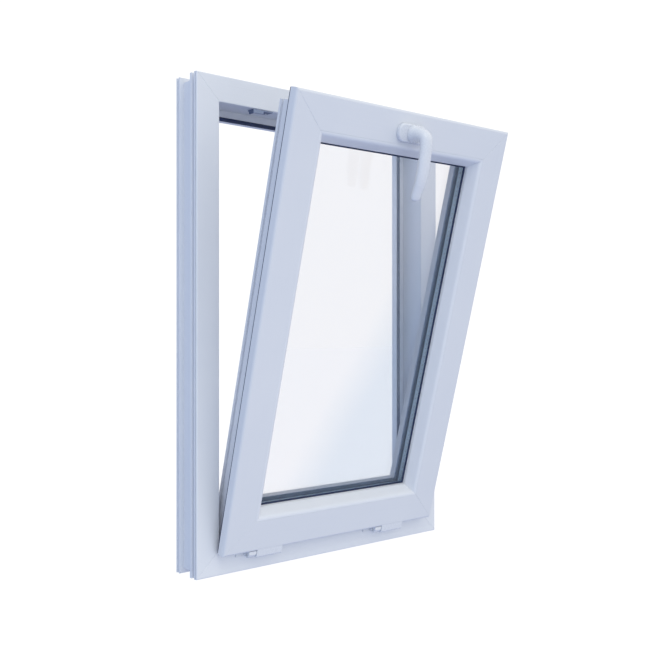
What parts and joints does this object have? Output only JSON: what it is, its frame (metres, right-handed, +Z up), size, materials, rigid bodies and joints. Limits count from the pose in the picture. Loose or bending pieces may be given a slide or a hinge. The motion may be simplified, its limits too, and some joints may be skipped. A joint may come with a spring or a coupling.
{
  "type": "bottom-hung window",
  "caption": "White PVC window whose sash tilts inwards at the top on bottom hinges, with sealed double glazing, a turning handle and a sliding locking rod.",
  "frame": {"origin": "middle of the flat rib under the sill, which the window stands on", "axes": "+Z up, +X to the right seen from the room, +Y towards the outdoors; the room side faces -Y"},
  "size_m": [0.61, 0.3505, 0.9],
  "materials": {
    "pvc_white": "satin white PVC",
    "seal_black": "matte black",
    "galvanised_steel": "galvanised",
    "zinc_plated": "zinc plated",
    "clear_glass": "clear",
    "spacer_aluminium": "satin",
    "sealant_black": "matte",
    "white_coated_metal": "satin white powder coat",
    "block_blue": "matte"
  },
  "bodies": {
    "frame": {"frame_sill": "pvc_white", "frame_head": "pvc_white", "frame_jamb_left": "pvc_white", "frame_jamb_right": "pvc_white", "frame_steel_sill": "galvanised_steel", "frame_steel_head": "galvanised_steel", "frame_steel_left": "galvanised_steel", "frame_steel_right": "galvanised_steel", "frame_seal": "seal_black", "drain_cap_left": "pvc_white", "drain_cap_right": "pvc_white", "lock_keep_left": "zinc_plated", "keep_screw_left_1": "zinc_plated", "keep_screw_left_2": "zinc_plated", "lock_keep_right": "zinc_plated", "keep_screw_right_1": "zinc_plated", "keep_screw_right_2": "zinc_plated", "hinge_frame_leaf_left": "white_coated_metal", "hinge_screw_left_1": "zinc_plated", "hinge_screw_left_2": "zinc_plated", "hinge_frame_leaf_right": "white_coated_metal", "hinge_screw_right_1": "zinc_plated", "hinge_screw_right_2": "zinc_plated"},
    "sash": {"hinge_sash_leaf_left": "white_coated_metal", "hinge_pin_left": "zinc_plated", "hinge_sash_leaf_right": "white_coated_metal", "hinge_pin_right": "zinc_plated", "sash_top_rail": "pvc_white", "sash_bottom_rail": "pvc_white", "sash_stile_left": "pvc_white", "sash_stile_right": "pvc_white", "sash_steel_top": "galvanised_steel", "sash_steel_bottom": "galvanised_steel", "sash_steel_left": "galvanised_steel", "sash_steel_right": "galvanised_steel", "sash_seal": "seal_black", "glazing_bead_top": "pvc_white", "glazing_bead_bottom": "pvc_white", "glazing_bead_left": "pvc_white", "glazing_bead_right": "pvc_white", "glazing_seal_inner": "seal_black", "glazing_seal_outer": "seal_black", "glass_pane_inner": "clear_glass", "glass_pane_outer": "clear_glass", "glass_spacer": "spacer_aluminium", "glass_edge_sealant": "sealant_black", "setting_block_left": "block_blue", "setting_block_right": "block_blue", "lock_faceplate": "zinc_plated", "lock_gearbox": "zinc_plated", "handle_base": "zinc_plated", "handle_cover": "white_coated_metal", "handle_screw_left": "zinc_plated", "handle_screw_right": "zinc_plated"},
    "handle": {"handle_lever": "white_coated_metal", "handle_spindle": "galvanised_steel"},
    "lock_rod": {"lock_rod": "galvanised_steel", "lock_cam_left": "zinc_plated", "lock_cam_right": "zinc_plated"}
  },
  "joints": [
    {"name": "sash_tilt", "type": "hinge", "parent": "frame", "child": "sash", "pos_m": [0, -0.033, 0.0325], "axis": [-1, 0, 0], "range_deg": [0, 15.1]},
    {"name": "handle_turn", "type": "hinge", "parent": "sash", "child": "handle", "pos_m": [0, -0.24688, 0.79253], "axis": [0, -0.9655, -0.2605], "range_deg": [0, 90]},
    {"name": "lock_rod_slide", "type": "slide", "parent": "sash", "child": "lock_rod", "axis": [-1, 0, 0], "range_m": [0, 0.018]}
  ],
  "couplings": [
    {"joint": "lock_rod_slide", "follows": "handle_turn", "m_per_rad": 0.011459}
  ]
}
